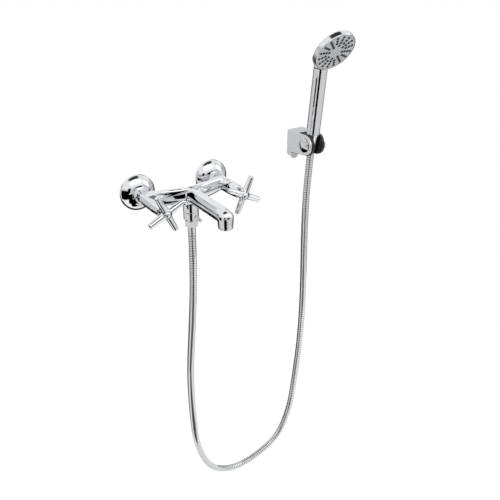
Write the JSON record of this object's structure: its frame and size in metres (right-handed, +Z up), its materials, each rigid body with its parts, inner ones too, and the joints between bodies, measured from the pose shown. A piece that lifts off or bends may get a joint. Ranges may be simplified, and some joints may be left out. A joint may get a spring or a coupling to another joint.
{
  "type": "bath mixer with hand shower",
  "caption": "Wall bath mixer with two cross handles, fixed spout and diverter, joined by a metal hose to a hand shower in a tilting wall bracket.",
  "frame": {"origin": "on the wall, midway between the axes of the two threaded wall tails", "axes": "+X right along the wall, +Y into the wall (the spout points along -Y), +Z up"},
  "size_m": [0.4232, 0.2095, 1.0008],
  "materials": {
    "chrome": "bright chrome plate on brass",
    "chromed_plastic": "bright chrome plate on moulded plastic",
    "brass": "turned brass",
    "steel": "plain stainless steel",
    "hose_metal": "wound chromed steel strip",
    "ceramic": "lapped white ceramic",
    "rubber": "soft black rubber",
    "white_plastic": "moulded white plastic",
    "pale_plastic": "pale moulded plastic",
    "grey_plastic": "matt grey moulded plastic",
    "black_plastic": "black moulded plastic"
  },
  "bodies": {
    "mixer": {"hot_union": "brass", "hot_escutcheon": "chrome", "hot_union_nut": "chrome", "hot_inlet_tail": "brass", "hot_headwork": "brass", "hot_bonnet_cover": "chrome", "cold_union": "brass", "cold_escutcheon": "chrome", "cold_union_nut": "chrome", "cold_inlet_tail": "brass", "cold_headwork": "brass", "cold_bonnet_cover": "chrome", "inlet_washers": "rubber", "seat_seals": "rubber", "fixed_discs": "ceramic", "mixer_body": "chrome", "aerator_housing": "chrome", "aerator_insert": "white_plastic", "aerator_washer": "rubber", "shower_outlet": "brass", "diverter_clip": "steel", "hose_nut": "chrome", "hose_washer_mixer": "rubber", "hose_ferrule_mixer": "chrome", "shower_hose": "hose_metal", "bracket_yoke": "chrome", "bracket_wall_plate": "pale_plastic", "bracket_screws": "steel", "pivot_knobs": "chrome"},
    "hot_tap": {"hot_handle": "chrome", "hot_hub_cap": "chrome", "hot_handle_screw": "steel", "hot_spindle": "brass", "hot_spindle_oring": "rubber", "hot_spindle_clip": "steel", "hot_moving_disc": "ceramic"},
    "cold_tap": {"cold_handle": "chrome", "cold_hub_cap": "chrome", "cold_handle_screw": "steel", "cold_spindle": "brass", "cold_spindle_oring": "rubber", "cold_spindle_clip": "steel", "cold_moving_disc": "ceramic"},
    "diverter": {"diverter_ring": "chrome", "diverter_lever": "chrome", "diverter_spool": "white_plastic", "diverter_orings": "rubber"},
    "holder": {"holder_fork": "black_plastic"},
    "handset": {"hose_cone_nut": "chrome", "hose_fitting_handset": "brass", "hose_washer_handset": "rubber", "handset_grip": "chromed_plastic", "flow_restrictor": "white_plastic", "inner_waterway": "white_plastic", "neck_seal": "rubber", "handset_head": "chromed_plastic", "spray_plate": "grey_plastic", "spray_nozzles": "rubber"}
  },
  "joints": [
    {"name": "hot_turn", "type": "hinge", "parent": "mixer", "child": "hot_tap", "pos_m": [-0.075, -0.117, -0.008], "axis": [0, -1, 0], "range_deg": [0, 90]},
    {"name": "cold_turn", "type": "hinge", "parent": "mixer", "child": "cold_tap", "pos_m": [0.075, -0.117, -0.008], "axis": [0, -1, 0], "range_deg": [0, 90]},
    {"name": "diverter_turn", "type": "hinge", "parent": "mixer", "child": "diverter", "pos_m": [0, -0.0585, -0.046], "axis": [0, 0, 1], "range_deg": [-90, 0]},
    {"name": "holder_tilt", "type": "hinge", "parent": "mixer", "child": "holder", "pos_m": [0.275, -0.0545, 0.035], "axis": [1, 0, 0], "range_deg": [-15, 20], "deforming": ["shower_hose"]},
    {"name": "handset_lift", "type": "slide", "parent": "holder", "child": "handset", "axis": [0, -0.0938, 0.9956], "range_m": [0, 0.045], "deforming": ["shower_hose"]}
  ]
}
